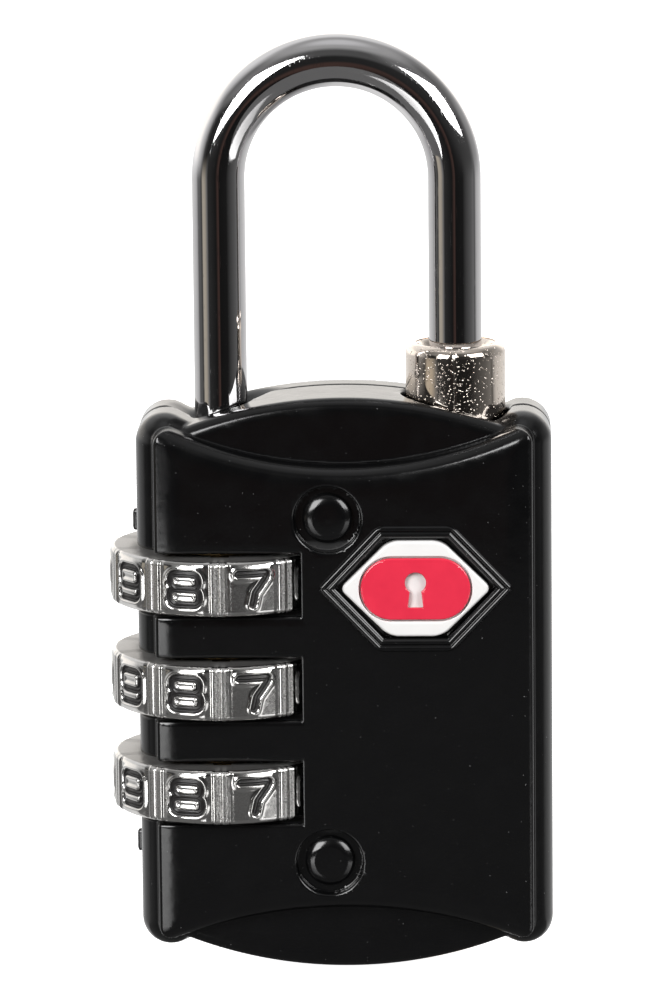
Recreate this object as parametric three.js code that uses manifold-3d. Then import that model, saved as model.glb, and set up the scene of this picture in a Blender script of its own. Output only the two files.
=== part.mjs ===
// A three-dial luggage padlock with a key override. Millimetres, +Z up, front face towards -Y.
// The body's own frame has X = 0 at the body's centre and Y = 0 on the plane of the shackle legs; the exported
// group shifts it along X, so that the origin is below the centre of the whole lock's box.
import * as THREE from "three";
import { mergeVertices } from "three/addons/utils/BufferGeometryUtils.js";
import Module from "manifold-3d";

const wasm = await Module();
wasm.setup();

// ---- driving dimensions -------------------------------------------------------------------------------------------
const GAP = 0.3; // clearance between neighbouring pieces
const BODY_WIDTH = 30;
const BODY_TOP = 42;
const EAR = { x: 12.88, top: 40.8, bottom: 1.45, radius: 2.1 };
const NOTCH = { x: 10.99, top: 40.07, bottom: 1.96 };
const SHIELD = { top: 37.3, bottom: 4.76 }; // middle of the raised shield's two hollow edges
const PLATEAU = { x: 13.45, top: 37.08, bottom: 5.18, cornerTop: 38.9, cornerBottom: 3.9 };
const DEPTH = { lens: -4.6, ledge: -5.4, plateau: -6.5, rearLedge: 4.4, rearPlateau: 5.5 };
const TONGUE = { left: -5.4, right: 4.3, back: 2.9, low: 36 };

const DIAL_X = -8.91;
const DIAL_HEIGHTS = [28.75, 21.115, 13.48];
const RING = { outer: 8.2, bore: 5.3, height: 4.0, positions: 10 };
const GROOVE = { offset: 0.95, width: 0.5, depth: 0.4 }; // beside each rib between two numbers
const NOTCHES = { radius: 5.95, width: 1.4 };
const TEETH = { radius: 5.6, width: 0.8 };
const POCKET = { radius: 8.75, height: 4.6 };

const SLEEVE = { outer: 4.2, shoulder: 5.0, chamber: 3.4, height: 7.335, shoulderHeight: 3.6 };
const WALL = { bore: 2.25, thickness: 1.2, gate: 3.0 }; // the locking wall inside each sleeve
const FIN = { reach: 2.85, width: 2.4, height: 1.2 };
const LEG_CHAMBER = { radius: 4.5, low: 5.6, top: 33.3, footRadius: 3.4, bottom: 2.3 };

const BAR_RADIUS = 1.915;
const LEG_SPACING = 17;
const ARCH_CENTRE_Z = 57.385;
const LEG_END = 2.6;
const TOE_END = 41.5;
const RETAINER = { inner: 1.8, outer: 3.0, low: 3.15, high: 3.65, grooveLow: 2.9, grooveHigh: 3.95, groove: 1.5 };
const WASHER = { inner: 2.3, outer: 4.2, low: 9.1, high: 9.5 };
const RESET_COIL = { radius: 3.75, wire: 0.3, low: 6.2, high: 8.5, turns: 2 };

const LOCK_X = DIAL_X + LEG_SPACING;
const COLLAR = { outer: 3.615, top: 45.4, bottom: 28.6, toeBore: 2.3, toeFloor: 41, partition: 39.5, skirtBore: 2.3 };
const COLLAR_HOLE = 3.95;
const COLLAR_DROP = 4.6;
const KEY_TURN = Math.PI;
const PIN = { radius: 0.5, z: 30, inner: 1.6, outer: 4.3 };
const CAM_GROOVE = { radius: 0.85, floor: 1.2, steps: 14 };
const SPINDLE = { radius: 1.9, top: 34.6 };
const PLUG = { radius: 2.65, head: 3.2, face: 1.5, headTop: 2.3, top: 22.5, clipGroove: 1.3, clipTop: 23.5 };
const KEYWAY = { width: 1.2, depth: 4.2, top: 20 };
const HOUSING = { inner: 2.95, outer: 3.7, low: 2.6, high: 22.4, hole: 4.0, lip: 3.5, lipTop: 2.3 };
const CLIP = { inner: 1.6, outer: 3.5, low: 22.75, high: 23.2, mouth: 2.2 };
const WAFER = { width: 2.2, length: 4.6, thickness: 0.7, windowWidth: 1.3, windowLength: 2.8 };
const WAFER_HEIGHTS = [5.5, 8.5, 11.5, 14.5, 17.5];
const WAFER_LUG = { reach: 1.9, low: -0.9, high: -0.45 };
const WAFER_COIL = { x: 1.62, radius: 0.28, wire: 0.1, low: -0.25, high: 1.4, turns: 3 };

const RIVETS = [{ name: "upper_rivet", x: -1.14, z: 33.54 }, { name: "lower_rivet", x: -1.17, z: 8.32 }];
const RIVET = { recess: 2.4, recessDepth: 0.9, head: 1.75, headHeight: 0.6, shank: 1.2 };
const DETENT = { x: 0.15, thickness: 0.3, back: 2.2, spine: 1.2, finger: 3.2, tip: -0.46, tipWidth: 1.0, tipHeight: 1.6 };

const HEX = { x: 5.17, z: 28.5, halfWidth: 7.03, halfFlat: 2.7, halfHeight: 4.57, rim: 0.75, raise: 0.25, floor: -5.5 };
const BADGE = { halfWidth: 5.46, halfFlat: 1.9, halfHeight: 3.5, back: -5.8, front: -6.75 };
const SYMBOL = { halfLength: 3.95, radius: 2.25, back: -6.45, front: -6.8 };
const KEYHOLE = { radius: 0.75, up: 0.45, stemHalf: 0.38, stemLow: -1.35 };
const INDEX_RIDGE = { out: 0.5, y: 1.0, width: 0.8, spans: [[31.5, 33.1], [7.5, 9.15]] };

// ---- solids -------------------------------------------------------------------------------------------------------
function signedVolume(geometry) {
  const points = geometry.attributes.position;
  const corner = [new THREE.Vector3(), new THREE.Vector3(), new THREE.Vector3()];
  let sum = 0;
  for (let i = 0; i < geometry.index.count; i += 3) {
    corner.forEach((v, k) => v.fromBufferAttribute(points, geometry.index.getX(i + k)));
    sum += corner[0].dot(corner[1].clone().cross(corner[2])) / 6;
  }
  return sum;
}

function solid(geometry) {
  const plain = geometry.clone();
  plain.deleteAttribute("normal");
  plain.deleteAttribute("uv");
  const merged = mergeVertices(plain, 1e-5);
  const corners = Array.from(merged.index.array);
  if (signedVolume(merged) < 0) corners.reverse();
  const mesh = new wasm.Mesh({
    numProp: 3,
    vertProperties: new Float32Array(merged.attributes.position.array),
    triVerts: new Uint32Array(corners),
  });
  return new wasm.Manifold(mesh);
}

function geometryOf(manifold) {
  const mesh = manifold.getMesh();
  const geometry = new THREE.BufferGeometry();
  geometry.setAttribute("position", new THREE.BufferAttribute(mesh.vertProperties, 3));
  geometry.setIndex(new THREE.BufferAttribute(mesh.triVerts, 1));
  geometry.computeVertexNormals();
  return geometry;
}

const joined = (...pieces) => pieces.reduce((whole, piece) => whole.add(piece));
const cut = (whole, ...tools) => tools.reduce((rest, tool) => rest.subtract(tool), whole);

function box(x, y, z) {
  const geometry = new THREE.BoxGeometry(x[1] - x[0], y[1] - y[0], z[1] - z[0]);
  return solid(geometry.translate((x[0] + x[1]) / 2, (y[0] + y[1]) / 2, (z[0] + z[1]) / 2));
}

function post(radius, low, high, x, sides = 24) {
  const geometry = new THREE.CylinderGeometry(radius, radius, high - low, sides);
  return solid(geometry.rotateX(Math.PI / 2).translate(x, 0, (low + high) / 2));
}

// A solid of revolution about a vertical axis at x, from [radius, height] corners.
function turned(profile, x, sides = 24) {
  const corners = profile.map(([radius, height]) => new THREE.Vector2(radius, height));
  const onAxis = profile[0][0] === 0 && profile.at(-1)[0] === 0;
  if (!onAxis) corners.push(corners[0].clone());
  return solid(new THREE.LatheGeometry(corners, sides).rotateX(Math.PI / 2).translate(x, 0, 0));
}

function tube(inner, outer, low, high, x, sides = 24) {
  return turned([[inner, low], [outer, low], [outer, high], [inner, high]], x, sides);
}

// An outline drawn in the X-Z plane, as a plate between two depths.
function plate(shape, front, back, curveSegments = 8) {
  const geometry = new THREE.ExtrudeGeometry(shape, { depth: back - front, bevelEnabled: false, curveSegments });
  return solid(geometry.rotateX(Math.PI / 2).translate(0, back, 0));
}

function roundBar(radius, path, steps, sides) {
  const section = new THREE.Shape();
  for (let i = 0; i < sides; i += 1) {
    const angle = (2 * Math.PI * i) / sides;
    const step = i === 0 ? "moveTo" : "lineTo";
    section[step](radius * Math.cos(angle), radius * Math.sin(angle));
  }
  return solid(new THREE.ExtrudeGeometry(section, { steps, extrudePath: path, bevelEnabled: false }));
}

class Helix extends THREE.Curve {
  constructor(radius, turns, start, end) {
    super();
    Object.assign(this, { radius, turns, start, end });
  }

  getPoint(t, target = new THREE.Vector3()) {
    const angle = 2 * Math.PI * this.turns * t;
    const height = this.start + (this.end - this.start) * t;
    return target.set(this.radius * Math.cos(angle), this.radius * Math.sin(angle), height);
  }
}

function around(count, make) {
  return Array.from({ length: count }, (_, i) => make((2 * Math.PI * i) / count));
}

// A block that points outwards from a vertical axis at x, from one radius to another, turned to an angle.
function spoke(angle, radii, width, heights, x, offset = 0) {
  const geometry = new THREE.BoxGeometry(radii[1] - radii[0], width, heights[1] - heights[0]);
  geometry.translate((radii[0] + radii[1]) / 2, offset, (heights[0] + heights[1]) / 2);
  return solid(geometry.rotateZ(angle).translate(x, 0, 0));
}

// ---- outlines -----------------------------------------------------------------------------------------------------
const archRadius = (halfChord, rise) => (halfChord ** 2 + rise ** 2) / (2 * rise);

// Adds an arc to a shape, from its present point to the mirrored point, with its middle at height `middle`.
function archTo(shape, x, end, middle) {
  const rise = middle - end;
  const radius = archRadius(Math.abs(x), Math.abs(rise));
  const up = Math.sign(rise);
  const centre = middle - up * radius;
  const reach = Math.asin(x / radius);
  const start = up > 0 ? Math.PI / 2 + reach : -Math.PI / 2 - reach;
  const finish = up > 0 ? Math.PI / 2 - reach : -Math.PI / 2 + reach;
  shape.absarc(0, centre, radius, start, finish, finish < start);
}

function bodyOutline() {
  const half = BODY_WIDTH / 2;
  const centre = half - EAR.radius;
  const shape = new THREE.Shape();
  shape.moveTo(-half, EAR.bottom + EAR.radius);
  shape.absarc(-centre, EAR.top - EAR.radius, EAR.radius, Math.PI, Math.PI / 2, true);
  archTo(shape, NOTCH.x, NOTCH.top, BODY_TOP);
  shape.absarc(centre, EAR.top - EAR.radius, EAR.radius, Math.PI / 2, 0, true);
  shape.absarc(centre, EAR.bottom + EAR.radius, EAR.radius, 0, -Math.PI / 2, true);
  shape.lineTo(NOTCH.x, NOTCH.bottom);
  archTo(shape, -NOTCH.x, NOTCH.bottom, 0);
  shape.absarc(-centre, EAR.bottom + EAR.radius, EAR.radius, -Math.PI / 2, -Math.PI, true);
  return shape;
}

function shieldOutline() {
  const half = BODY_WIDTH / 2;
  const centre = half - EAR.radius;
  const shape = new THREE.Shape();
  shape.moveTo(-half, EAR.bottom + EAR.radius);
  shape.absarc(-centre, EAR.top - EAR.radius, EAR.radius, Math.PI, Math.PI / 2, true);
  archTo(shape, centre, EAR.top, SHIELD.top);
  shape.absarc(centre, EAR.top - EAR.radius, EAR.radius, Math.PI / 2, 0, true);
  shape.absarc(centre, EAR.bottom + EAR.radius, EAR.radius, 0, -Math.PI / 2, true);
  archTo(shape, -centre, EAR.bottom, SHIELD.bottom);
  shape.absarc(-centre, EAR.bottom + EAR.radius, EAR.radius, -Math.PI / 2, -Math.PI, true);
  return shape;
}

function plateauOutline() {
  const shape = new THREE.Shape();
  shape.moveTo(-PLATEAU.x, PLATEAU.cornerBottom);
  shape.lineTo(-PLATEAU.x, PLATEAU.cornerTop);
  archTo(shape, PLATEAU.x, PLATEAU.cornerTop, PLATEAU.top);
  shape.lineTo(PLATEAU.x, PLATEAU.cornerBottom);
  archTo(shape, -PLATEAU.x, PLATEAU.cornerBottom, PLATEAU.bottom);
  return shape;
}

function hexagon({ halfWidth, halfFlat, halfHeight }, inset) {
  const width = halfWidth - 1.2 * inset;
  const flat = halfFlat - 0.5 * inset;
  const height = halfHeight - inset;
  const corners = [[width, 0], [flat, height], [-flat, height], [-width, 0], [-flat, -height], [flat, -height]];
  return new THREE.Shape(corners.map(([x, z]) => new THREE.Vector2(HEX.x + x, HEX.z + z)));
}

function roundEnded(halfLength, radius) {
  const straight = halfLength - radius;
  const shape = new THREE.Shape();
  shape.absarc(HEX.x + straight, HEX.z, radius, -Math.PI / 2, Math.PI / 2, false);
  shape.absarc(HEX.x - straight, HEX.z, radius, Math.PI / 2, (3 * Math.PI) / 2, false);
  return shape;
}

// ---- the two shells -----------------------------------------------------------------------------------------------
// Everything that both shells make room for.
function hollows() {
  const dialPockets = DIAL_HEIGHTS.map((z) =>
    post(POCKET.radius, z - POCKET.height / 2, z + POCKET.height / 2, DIAL_X, 40));
  const above = BODY_TOP + 1;
  const detentRoom = box(
    [DETENT.x - 0.45, DETENT.x + 0.6],
    [-DETENT.back - GAP, DETENT.back + GAP],
    [DIAL_HEIGHTS[2] - POCKET.height / 2, DIAL_HEIGHTS[0] + POCKET.height / 2],
  );
  const pinSlot = box(
    [LOCK_X, LOCK_X + PIN.outer + GAP],
    [-CAM_GROOVE.radius, CAM_GROOVE.radius],
    [PIN.z - COLLAR_DROP - CAM_GROOVE.radius, PIN.z + CAM_GROOVE.radius],
  );
  return [
    ...dialPockets,
    post(LEG_CHAMBER.footRadius, LEG_CHAMBER.bottom, LEG_CHAMBER.low + 1, DIAL_X),
    post(LEG_CHAMBER.radius, LEG_CHAMBER.low, LEG_CHAMBER.top, DIAL_X),
    post(WALL.bore, LEG_CHAMBER.top - 1, above, DIAL_X),
    post(HOUSING.lip, -1, HOUSING.lipTop + 0.1, LOCK_X),
    post(HOUSING.hole, HOUSING.lipTop, HOUSING.high + GAP, LOCK_X),
    post(COLLAR_HOLE, HOUSING.high, above, LOCK_X),
    detentRoom,
    pinSlot,
  ];
}

function rivetHoles() {
  return RIVETS.flatMap(({ x, z }) => [
    turnedAcross([[0, -9], [RIVET.recess, -9], [RIVET.recess, DEPTH.plateau + RIVET.recessDepth],
      [0, DEPTH.plateau + RIVET.recessDepth]], x, z),
    turnedAcross([[0, DEPTH.plateau], [RIVET.shank + GAP, DEPTH.plateau], [RIVET.shank + GAP, DEPTH.rearPlateau],
      [0, DEPTH.rearPlateau]], x, z),
    turnedAcross([[0, DEPTH.rearPlateau - RIVET.recessDepth], [RIVET.recess, DEPTH.rearPlateau - RIVET.recessDepth],
      [RIVET.recess, 9], [0, 9]], x, z),
  ]);
}

// A solid of revolution about a front-to-back axis, from [radius, depth] corners.
function turnedAcross(profile, x, z, sides = 18) {
  const corners = profile.map(([radius, depth]) => new THREE.Vector2(radius, depth));
  return solid(new THREE.LatheGeometry(corners, sides).translate(x, 0, z));
}

function frontShell() {
  const tongueBox = box([TONGUE.left, TONGUE.right], [-1, TONGUE.back], [TONGUE.low, BODY_TOP + 1]);
  const tongue = plate(bodyOutline(), -1, TONGUE.back).intersect(tongueBox);
  const rim = cut(
    plate(hexagon(HEX, 0), DEPTH.plateau - HEX.raise, DEPTH.plateau + 0.5),
    plate(hexagon(HEX, HEX.rim), DEPTH.plateau - 1, 0),
  );
  const stepped = joined(
    plate(bodyOutline(), DEPTH.lens, -GAP / 2),
    plate(shieldOutline(), DEPTH.ledge, -1),
    plate(plateauOutline(), DEPTH.plateau, -1),
    tongue,
  );
  const recess = plate(hexagon(HEX, HEX.rim), DEPTH.plateau - 1, HEX.floor);
  return cut(cut(stepped, recess).add(rim), ...hollows(), ...rivetHoles());
}

function rearShell() {
  const half = BODY_WIDTH / 2;
  const ridges = INDEX_RIDGE.spans.map((span) =>
    box([-half - INDEX_RIDGE.out, 1 - half],
      [INDEX_RIDGE.y - INDEX_RIDGE.width / 2, INDEX_RIDGE.y + INDEX_RIDGE.width / 2], span));
  const stepped = joined(
    plate(bodyOutline(), GAP / 2, DEPTH.rearLedge),
    plate(plateauOutline(), 1, DEPTH.rearPlateau),
    ...ridges,
  );
  const tongueRoom = box(
    [TONGUE.left - GAP, TONGUE.right + GAP],
    [-1, TONGUE.back + GAP],
    [TONGUE.low - GAP, BODY_TOP + 1],
  );
  return cut(stepped, tongueRoom, ...hollows(), ...rivetHoles());
}

function rivet({ x, z }) {
  const front = DEPTH.plateau + RIVET.recessDepth - GAP;
  const back = DEPTH.rearPlateau - RIVET.recessDepth + GAP;
  return turnedAcross([
    [0, front - RIVET.headHeight],
    [RIVET.head * 0.6, front - RIVET.headHeight * 0.8],
    [RIVET.head, front - RIVET.headHeight * 0.2],
    [RIVET.head, front],
    [RIVET.shank, front],
    [RIVET.shank, back],
    [RIVET.head, back],
    [RIVET.head, back + RIVET.headHeight * 0.2],
    [RIVET.head * 0.6, back + RIVET.headHeight * 0.8],
    [0, back + RIVET.headHeight],
  ], x, z);
}

// ---- shackle ------------------------------------------------------------------------------------------------------
function shacklePath() {
  const half = LEG_SPACING / 2;
  const middle = DIAL_X + half;
  const path = new THREE.CurvePath();
  const at = (x, z) => new THREE.Vector3(x, 0, z);
  path.add(new THREE.LineCurve3(at(DIAL_X, LEG_END), at(DIAL_X, ARCH_CENTRE_Z)));
  const arch = new THREE.Curve();
  arch.getPoint = (t, target = new THREE.Vector3()) => {
    const angle = Math.PI * (1 - t);
    return target.set(middle + half * Math.cos(angle), 0, ARCH_CENTRE_Z + half * Math.sin(angle));
  };
  path.add(arch);
  path.add(new THREE.LineCurve3(at(LOCK_X, ARCH_CENTRE_Z), at(LOCK_X, TOE_END)));
  return path;
}

function shackle() {
  const bar = roundBar(BAR_RADIUS, shacklePath(), 44, 16);
  const fins = DIAL_HEIGHTS.map((z) => {
    const top = z - WALL.thickness / 2 - GAP;
    return spoke(0, [0, FIN.reach], FIN.width, [top - FIN.height, top], DIAL_X);
  });
  const groove = tube(RETAINER.groove, BAR_RADIUS + 1, RETAINER.grooveLow, RETAINER.grooveHigh, DIAL_X);
  return cut(joined(bar, ...fins), groove);
}

function openRing({ inner, outer, low, high }, mouth, x) {
  return cut(tube(inner, outer, low, high, x), spoke(0, [0, outer + 1], mouth, [low - 1, high + 1], x));
}

// ---- dials --------------------------------------------------------------------------------------------------------
// The ribs stand in line with the front, so the numbers face out between them.
function numberRing(z) {
  const low = z - RING.height / 2;
  const high = z + RING.height / 2;
  const beyond = [low - 1, high + 1];
  const grooves = around(RING.positions, (angle) => [-1, 1].map((side) =>
    spoke(angle - Math.PI / 2, [RING.outer - GROOVE.depth, RING.outer + 1], GROOVE.width, beyond, DIAL_X,
      side * GROOVE.offset))).flat();
  const notches = around(RING.positions, (angle) =>
    spoke(angle, [RING.bore - 1, NOTCHES.radius], NOTCHES.width, beyond, DIAL_X));
  return cut(tube(RING.bore, RING.outer, low, high, DIAL_X, 40), ...grooves, ...notches);
}

// The sleeve turns with its number ring; the wall inside it stops the shackle's fin unless the gate is in line.
function clutchSleeve(z) {
  const low = z - SLEEVE.height / 2;
  const high = z + SLEEVE.height / 2;
  const shoulder = SLEEVE.shoulderHeight / 2;
  const wall = WALL.thickness / 2;
  const body = turned([
    [SLEEVE.chamber, low], [SLEEVE.outer, low], [SLEEVE.outer, z - shoulder], [SLEEVE.shoulder, z - shoulder],
    [SLEEVE.shoulder, z + shoulder], [SLEEVE.outer, z + shoulder], [SLEEVE.outer, high], [SLEEVE.chamber, high],
    [SLEEVE.chamber, z + wall], [WALL.bore, z + wall], [WALL.bore, z - wall], [SLEEVE.chamber, z - wall],
  ], DIAL_X);
  const teeth = around(RING.positions, (angle) =>
    spoke(angle, [SLEEVE.outer, TEETH.radius], TEETH.width, [z - 1.5, z + 1.5], DIAL_X));
  const gate = spoke(0, [0, SLEEVE.chamber], WALL.gate, [z - wall - 0.1, z + wall + 0.1], DIAL_X);
  return cut(joined(body, ...teeth), gate);
}

function detentSpring() {
  const x = [DETENT.x, DETENT.x + DETENT.thickness];
  const top = DIAL_HEIGHTS[0] + DETENT.finger / 2;
  const bottom = DIAL_HEIGHTS[2] - DETENT.finger / 2;
  const spine = box(x, [DETENT.spine, DETENT.back], [bottom, top]);
  const fingers = DIAL_HEIGHTS.map((z) =>
    box(x, [-DETENT.back, DETENT.back], [z - DETENT.finger / 2, z + DETENT.finger / 2]));
  const tips = DIAL_HEIGHTS.map((z) =>
    box([DETENT.tip, DETENT.x + 0.1], [-DETENT.tipWidth / 2, DETENT.tipWidth / 2],
      [z - DETENT.tipHeight / 2, z + DETENT.tipHeight / 2]));
  return joined(spine, ...fingers, ...tips);
}

function coil({ radius, wire, low, high, turns }, steps, sides) {
  return roundBar(wire, new Helix(radius, turns, low, high), steps, sides);
}

// ---- key override -------------------------------------------------------------------------------------------------
function collar() {
  const rounding = 0.8;
  const countersink = 0.5;
  const body = turned([
    [0, COLLAR.bottom], [COLLAR.outer, COLLAR.bottom], [COLLAR.outer, COLLAR.top - rounding],
    [COLLAR.outer - rounding * 0.3, COLLAR.top - rounding * 0.3], [COLLAR.outer - rounding, COLLAR.top],
    [COLLAR.toeBore + countersink, COLLAR.top], [COLLAR.toeBore, COLLAR.top - countersink],
    [COLLAR.toeBore, COLLAR.toeFloor], [0, COLLAR.toeFloor],
  ], LOCK_X);
  const skirt = post(COLLAR.skirtBore, COLLAR.bottom - 1, COLLAR.partition, LOCK_X);
  return cut(body, skirt, radialPost(CAM_GROOVE.radius, [0, COLLAR.outer + 1], PIN.z, 0));
}

// A round pin that points outwards from the lock's axis, turned to an angle.
function radialPost(radius, radii, z, angle, sides = 8) {
  const geometry = new THREE.CylinderGeometry(radius, radius, radii[1] - radii[0], sides);
  geometry.rotateZ(Math.PI / 2).translate((radii[0] + radii[1]) / 2, 0, 0);
  return solid(geometry.rotateZ(angle).translate(LOCK_X, 0, z));
}

// The spindle's cam groove climbs backwards round it, so that a half turn draws the pin and collar down.
function camGroove() {
  return Array.from({ length: CAM_GROOVE.steps + 1 }, (_, i) => {
    const part = i / CAM_GROOVE.steps;
    const z = PIN.z - COLLAR_DROP * part;
    return radialPost(CAM_GROOVE.radius, [CAM_GROOVE.floor, PLUG.radius], z, -KEY_TURN * part);
  });
}

function waferSlot(z) {
  const half = WAFER.thickness / 2 + GAP;
  return joined(
    box([LOCK_X - WAFER.width / 2 - GAP, LOCK_X + WAFER.width / 2 + GAP], [-4, 4], [z - half, z + half]),
    box([LOCK_X, LOCK_X + WAFER_LUG.reach + GAP], [WAFER_LUG.low - GAP, WAFER_COIL.high + GAP], [z - half, z + half]),
  );
}

function keyPlug() {
  const body = turned([
    [0, PLUG.face], [PLUG.head, PLUG.face], [PLUG.head, PLUG.headTop], [PLUG.radius, PLUG.headTop],
    [PLUG.radius, PLUG.top], [PLUG.clipGroove, PLUG.top], [PLUG.clipGroove, PLUG.clipTop],
    [SPINDLE.radius, PLUG.clipTop], [SPINDLE.radius, SPINDLE.top], [0, SPINDLE.top],
  ], LOCK_X);
  const keyway = box([LOCK_X - KEYWAY.width / 2, LOCK_X + KEYWAY.width / 2],
    [-KEYWAY.depth / 2, KEYWAY.depth / 2], [0, KEYWAY.top]);
  return cut(body, keyway, ...WAFER_HEIGHTS.map(waferSlot), ...camGroove());
}

function wafer(z) {
  const zs = [z - WAFER.thickness / 2, z + WAFER.thickness / 2];
  const blank = box([LOCK_X - WAFER.width / 2, LOCK_X + WAFER.width / 2], [-WAFER.length / 2, WAFER.length / 2], zs);
  const lug = box([LOCK_X, LOCK_X + WAFER_LUG.reach], [WAFER_LUG.low, WAFER_LUG.high], zs);
  const opening = box([LOCK_X - WAFER.windowWidth / 2, LOCK_X + WAFER.windowWidth / 2],
    [-WAFER.windowLength / 2, WAFER.windowLength / 2], [zs[0] - 1, zs[1] + 1]);
  return cut(blank.add(lug), opening);
}

function waferSpring(z) {
  const geometry = geometryOf(coil(WAFER_COIL, 18, 4));
  return solid(geometry.rotateX(-Math.PI / 2).translate(LOCK_X + WAFER_COIL.x, 0, z));
}

// ---- badge --------------------------------------------------------------------------------------------------------
function badgePlate() {
  const seat = plate(roundEnded(SYMBOL.halfLength + GAP, SYMBOL.radius + GAP), BADGE.front - 1, SYMBOL.back + GAP);
  return cut(plate(hexagon(BADGE, 0), BADGE.front, BADGE.back), seat);
}

function badgeSymbol() {
  const keyhole = new THREE.Shape().absarc(HEX.x, HEX.z + KEYHOLE.up, KEYHOLE.radius, 0, 2 * Math.PI, false);
  const stem = box([HEX.x - KEYHOLE.stemHalf, HEX.x + KEYHOLE.stemHalf], [SYMBOL.front - 1, 0],
    [HEX.z + KEYHOLE.stemLow, HEX.z + KEYHOLE.up]);
  return cut(plate(roundEnded(SYMBOL.halfLength, SYMBOL.radius), SYMBOL.front, SYMBOL.back),
    plate(keyhole, SYMBOL.front - 1, 0), stem);
}

// ---- assembly -----------------------------------------------------------------------------------------------------
const finishes = {
  paint: { color: 0x111113, roughness: 0.4, metalness: 0 },
  chrome: { color: 0xe4e5e8, roughness: 0.06, metalness: 1 },
  nickel: { color: 0xb8aea4, roughness: 0.35, metalness: 1 },
  steel: { color: 0x9a9c9f, roughness: 0.35, metalness: 1 },
  brass: { color: 0xb08d4a, roughness: 0.35, metalness: 1 },
  white: { color: 0xf3f3f1, roughness: 0.2, metalness: 0 },
  red: { color: 0xc91f35, roughness: 0.25, metalness: 0 },
};

const body = new THREE.Group();
const leftmost = DIAL_X - RING.outer;
body.position.x = -(leftmost + BODY_WIDTH / 2) / 2;

function place(name, piece, finish) {
  const mesh = new THREE.Mesh(geometryOf(piece), new THREE.MeshStandardMaterial(finishes[finish]));
  mesh.name = name;
  body.add(mesh);
}

place("front_shell", frontShell(), "paint");
place("rear_shell", rearShell(), "paint");
RIVETS.forEach((spot) => place(spot.name, rivet(spot), "paint"));
place("shackle", shackle(), "chrome");
place("shackle_retaining_ring", openRing(RETAINER, 1.6, DIAL_X), "steel");
DIAL_HEIGHTS.forEach((z, i) => {
  place(`number_ring_${i + 1}`, numberRing(z), "nickel");
  place(`clutch_sleeve_${i + 1}`, clutchSleeve(z), "brass");
});
place("detent_spring", detentSpring(), "steel");
place("reset_washer", tube(WASHER.inner, WASHER.outer, WASHER.low, WASHER.high, DIAL_X), "steel");
const resetCoil = geometryOf(coil(RESET_COIL, 28, 6)).translate(DIAL_X, 0, 0);
place("reset_spring", solid(resetCoil), "steel");
place("collar", collar(), "nickel");
place("cam_pin", radialPost(PIN.radius, [PIN.inner, PIN.outer], PIN.z, 0), "steel");
place("key_plug", keyPlug(), "brass");
place("cylinder_housing", tube(HOUSING.inner, HOUSING.outer, HOUSING.low, HOUSING.high, LOCK_X), "brass");
place("plug_clip", openRing(CLIP, CLIP.mouth, LOCK_X), "steel");
WAFER_HEIGHTS.forEach((z, i) => {
  place(`wafer_${i + 1}`, wafer(z), "brass");
  place(`wafer_spring_${i + 1}`, waferSpring(z), "steel");
});
place("badge_plate", badgePlate(), "white");
place("badge_symbol", badgeSymbol(), "red");

const padlock = new THREE.Group();
padlock.name = "padlock";
padlock.add(body);

export default padlock;
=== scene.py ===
"""The looks of a three-dial luggage padlock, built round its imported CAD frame.

Shapes are worked out in millimetres in the lock body's own frame: X = 0 at the body's centre,
Y = 0 on the plane of the shackle's legs, Z = 0 at the lowest point of the body, and the front
towards -Y. The shells and the badge are signed distance fields, negative inside, which are
skinned into meshes. The rings are rolled up from a relief, the shackle is swept along its path,
and the collar and the rivets are lathed.
"""

import math
from types import SimpleNamespace as Sizes

import bpy
import numpy as np
import openvdb
from mathutils import Matrix, Vector


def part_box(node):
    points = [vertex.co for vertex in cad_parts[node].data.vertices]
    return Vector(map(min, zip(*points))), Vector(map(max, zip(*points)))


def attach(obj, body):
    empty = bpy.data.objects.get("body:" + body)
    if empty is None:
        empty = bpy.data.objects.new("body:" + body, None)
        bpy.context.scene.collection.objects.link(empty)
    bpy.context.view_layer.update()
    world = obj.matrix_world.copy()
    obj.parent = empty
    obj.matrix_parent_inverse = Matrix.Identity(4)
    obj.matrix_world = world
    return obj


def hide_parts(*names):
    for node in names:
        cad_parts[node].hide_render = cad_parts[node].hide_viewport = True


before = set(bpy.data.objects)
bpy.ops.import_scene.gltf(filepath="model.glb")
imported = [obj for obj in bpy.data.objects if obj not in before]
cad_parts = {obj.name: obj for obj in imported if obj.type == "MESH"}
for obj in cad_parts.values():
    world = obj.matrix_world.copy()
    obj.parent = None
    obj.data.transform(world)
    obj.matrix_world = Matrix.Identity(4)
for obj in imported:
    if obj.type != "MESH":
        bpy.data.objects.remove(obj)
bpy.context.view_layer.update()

# ---- driving dimensions, in millimetres ----
MM = 0.001
SHELL_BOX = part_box("front_shell")
BODY_CENTRE_X = (SHELL_BOX[0].x + SHELL_BOX[1].x) / 2  # metres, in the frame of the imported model

HALF_WIDTH = 15.0
BODY_TOP = 42.0
NOTCH = Sizes(x=10.99, top=40.07, bottom=1.96, lap=1.2)
SHIELD = Sizes(x=HALF_WIDTH, top=37.45, bottom=4.3, ear_top=40.8, ear_bottom=1.45, radius=2.1)
PLATEAU = Sizes(x=13.55, top=37.2, bottom=4.85, ear_top=39.85, ear_bottom=2.6, radius=0.9)
PLATEAU_EDGE = Sizes(sharp=0.24, soft=0.95, fall=0.2, width=1.9)
DRAFT = 0.1  # how far the raised middle's walls lean, for each millimetre of depth
DEPTH = Sizes(lens=-4.75, ledge=-5.4, plateau=-6.5, rear_ledge=4.4, rear_barrel=5.1, rear_plateau=5.5)
ROUNDING = Sizes(outline=0.25, barrel=0.9, ledge=2.8, ledge_foot=0.2, plateau_foot=0.05, seam=0.16,
                 rear_ledge=1.4, rear_plateau=0.8, rear_foot=0.3, rear_seam=0.32, leg_dip=0.3,
                 pocket=0.22, hole=0.2, rivet_hole=0.16)
SEAM = 0.12
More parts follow.
